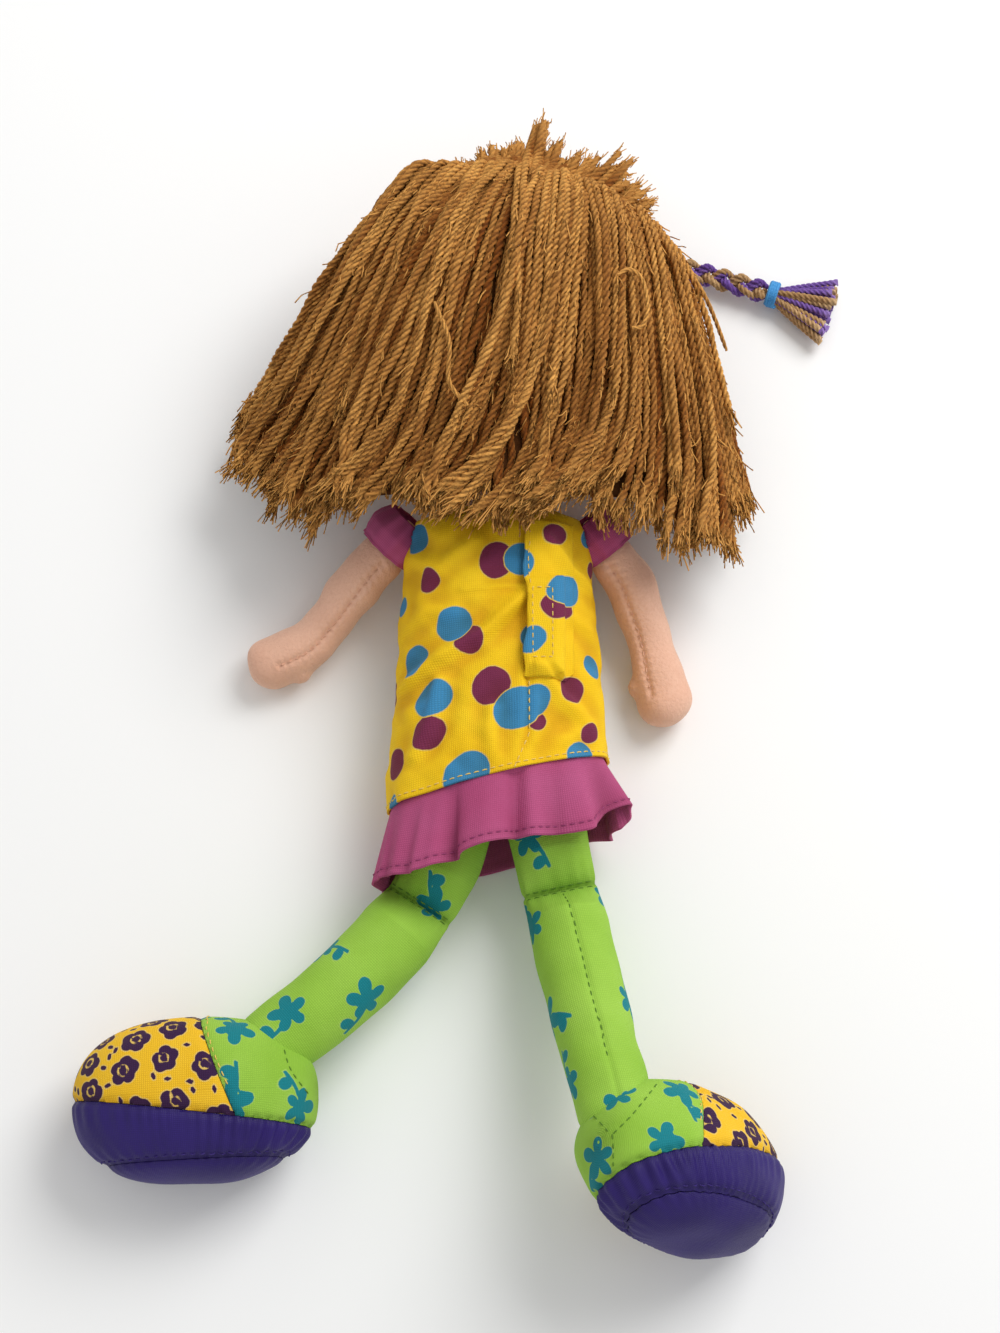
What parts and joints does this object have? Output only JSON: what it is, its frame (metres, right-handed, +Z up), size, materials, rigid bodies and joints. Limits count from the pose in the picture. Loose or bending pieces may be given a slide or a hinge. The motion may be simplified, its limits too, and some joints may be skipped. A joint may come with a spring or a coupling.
{
  "type": "rag doll",
  "caption": "Stuffed cloth rag doll with yarn hair, a side braid, a spotted dress with a ruffle, leggings and soft shoes, with limp joints; it lies on its front.",
  "frame": {"origin": "on the table, under the middle of the flat front of the dress", "axes": "+X to the doll's own right, +Y from the feet to the head, +Z up off the table towards the doll's back"},
  "size_m": [0.265, 0.3979, 0.0765],
  "materials": {
    "skin_velour": "peach cotton velour, short soft pile",
    "polyester_stuffing": "white polyester fibre filling",
    "ginger_yarn": "plied ginger acrylic yarn, cut ends frayed",
    "braid_yarn": "purple and tan yarn in a three strand plait",
    "braid_tie": "blue covered elastic",
    "dress_cotton": "yellow cotton with blue and plum spots",
    "pink_cotton": "plain magenta pink cotton",
    "fastener_tape": "hook and loop tape, matte",
    "legging_cotton": "green cotton with teal flowers",
    "shoe_satin": "dark purple polyester satin, soft sheen",
    "vamp_cotton": "yellow cotton with dark rosettes"
  },
  "bodies": {
    "torso": {"torso_skin": "skin_velour", "torso_stuffing": "polyester_stuffing", "dress_body": "dress_cotton", "dress_ruffle": "pink_cotton", "loop_patch": "fastener_tape"},
    "dress_flap": {"dress_flap": "dress_cotton", "hook_patch": "fastener_tape"},
    "neck": {"neck_skin": "skin_velour", "neck_stuffing": "polyester_stuffing"},
    "head": {"head_skin": "skin_velour", "head_stuffing": "polyester_stuffing", "hair_back": "ginger_yarn", "hair_short_ends": "ginger_yarn"},
    "braid": {"braid": "braid_yarn", "braid_tie": "braid_tie", "braid_tassel": "braid_yarn"},
    "left_shoulder": {"left_arm_tab": "skin_velour", "left_sleeve": "pink_cotton"},
    "left_arm": {"left_arm_skin": "skin_velour", "left_arm_stuffing": "polyester_stuffing"},
    "left_thigh": {"left_thigh_skin": "legging_cotton", "left_thigh_stuffing": "polyester_stuffing"},
    "left_leg": {"left_shin_skin": "legging_cotton", "left_shin_stuffing": "polyester_stuffing"},
    "left_foot": {"left_sole": "shoe_satin", "left_side_band": "shoe_satin", "left_toe_vamp": "vamp_cotton", "left_heel_quarter": "legging_cotton", "left_foot_stuffing": "polyester_stuffing"},
    "right_shoulder": {"right_arm_tab": "skin_velour", "right_sleeve": "pink_cotton"},
    "right_arm": {"right_arm_skin": "skin_velour", "right_arm_stuffing": "polyester_stuffing"},
    "right_thigh": {"right_thigh_skin": "legging_cotton", "right_thigh_stuffing": "polyester_stuffing"},
    "right_leg": {"right_shin_skin": "legging_cotton", "right_shin_stuffing": "polyester_stuffing"},
    "right_foot": {"right_sole": "shoe_satin", "right_side_band": "shoe_satin", "right_toe_vamp": "vamp_cotton", "right_heel_quarter": "legging_cotton", "right_foot_stuffing": "polyester_stuffing"}
  },
  "joints": [
    {"name": "neck_bend", "type": "hinge", "parent": "torso", "child": "neck", "pos_m": [0, 0.049, 0.0218], "axis": [-1, 0, 0], "range_deg": [-30, 60]},
    {"name": "head_turn", "type": "hinge", "parent": "neck", "child": "head", "pos_m": [0, 0.049, 0.0218], "axis": [0, 1, 0], "range_deg": [-60, 60], "deforming": ["hair_back"]},
    {"name": "braid_swing", "type": "hinge", "parent": "head", "child": "braid", "pos_m": [0.03174, 0.15042, 0.01262], "axis": [0, 0, 1], "range_deg": [-35, 25]},
    {"name": "flap_open", "type": "hinge", "parent": "torso", "child": "dress_flap", "pos_m": [0.025, 0.0105, 0.04183], "axis": [0, 1, 0], "range_deg": [0, 110]},
    {"name": "left_arm_raise", "type": "hinge", "parent": "torso", "child": "left_shoulder", "pos_m": [-0.033, 0.042, 0.024], "axis": [0, 0, -1], "range_deg": [-5, 110]},
    {"name": "left_arm_swing", "type": "hinge", "parent": "left_shoulder", "child": "left_arm", "pos_m": [-0.033, 0.042, 0.024], "axis": [0.7071, -0.7071, 0], "range_deg": [-60, 62], "deforming": ["left_sleeve"]},
    {"name": "left_hip_splay", "type": "hinge", "parent": "torso", "child": "left_thigh", "pos_m": [-0.013, -0.052, 0.0215], "axis": [0, 0, -1], "range_deg": [-6, 10]},
    {"name": "left_leg_bend", "type": "hinge", "parent": "left_thigh", "child": "left_leg", "pos_m": [-0.02626, -0.08654, 0.018], "axis": [0.8387, -0.5446, 0], "range_deg": [-40, 95], "deforming": ["dress_ruffle"]},
    {"name": "left_ankle_flex", "type": "hinge", "parent": "left_leg", "child": "left_foot", "pos_m": [-0.07378, -0.13406, 0.02289], "axis": [0.0733, 0.0846, 0.9937], "range_deg": [-22, 22]},
    {"name": "right_arm_raise", "type": "hinge", "parent": "torso", "child": "right_shoulder", "pos_m": [0.033, 0.042, 0.024], "axis": [0, 0, 1], "range_deg": [-5, 110]},
    {"name": "right_arm_swing", "type": "hinge", "parent": "right_shoulder", "child": "right_arm", "pos_m": [0.033, 0.042, 0.024], "axis": [0.788, 0.6157, 0], "range_deg": [-60, 62], "deforming": ["right_sleeve"]},
    {"name": "right_hip_splay", "type": "hinge", "parent": "torso", "child": "right_thigh", "pos_m": [0.013, -0.046, 0.0215], "axis": [0, 0, 1], "range_deg": [-6, 10]},
    {"name": "right_leg_bend", "type": "hinge", "parent": "right_thigh", "child": "right_leg", "pos_m": [0.02069, -0.08219, 0.02], "axis": [0.9772, 0.2122, 0], "range_deg": [-40, 95]},
    {"name": "right_ankle_flex", "type": "hinge", "parent": "right_leg", "child": "right_foot", "pos_m": [0.03706, -0.156, 0.04608], "axis": [-0.6832, -0.4498, -0.5753], "range_deg": [-22, 22]}
  ]
}
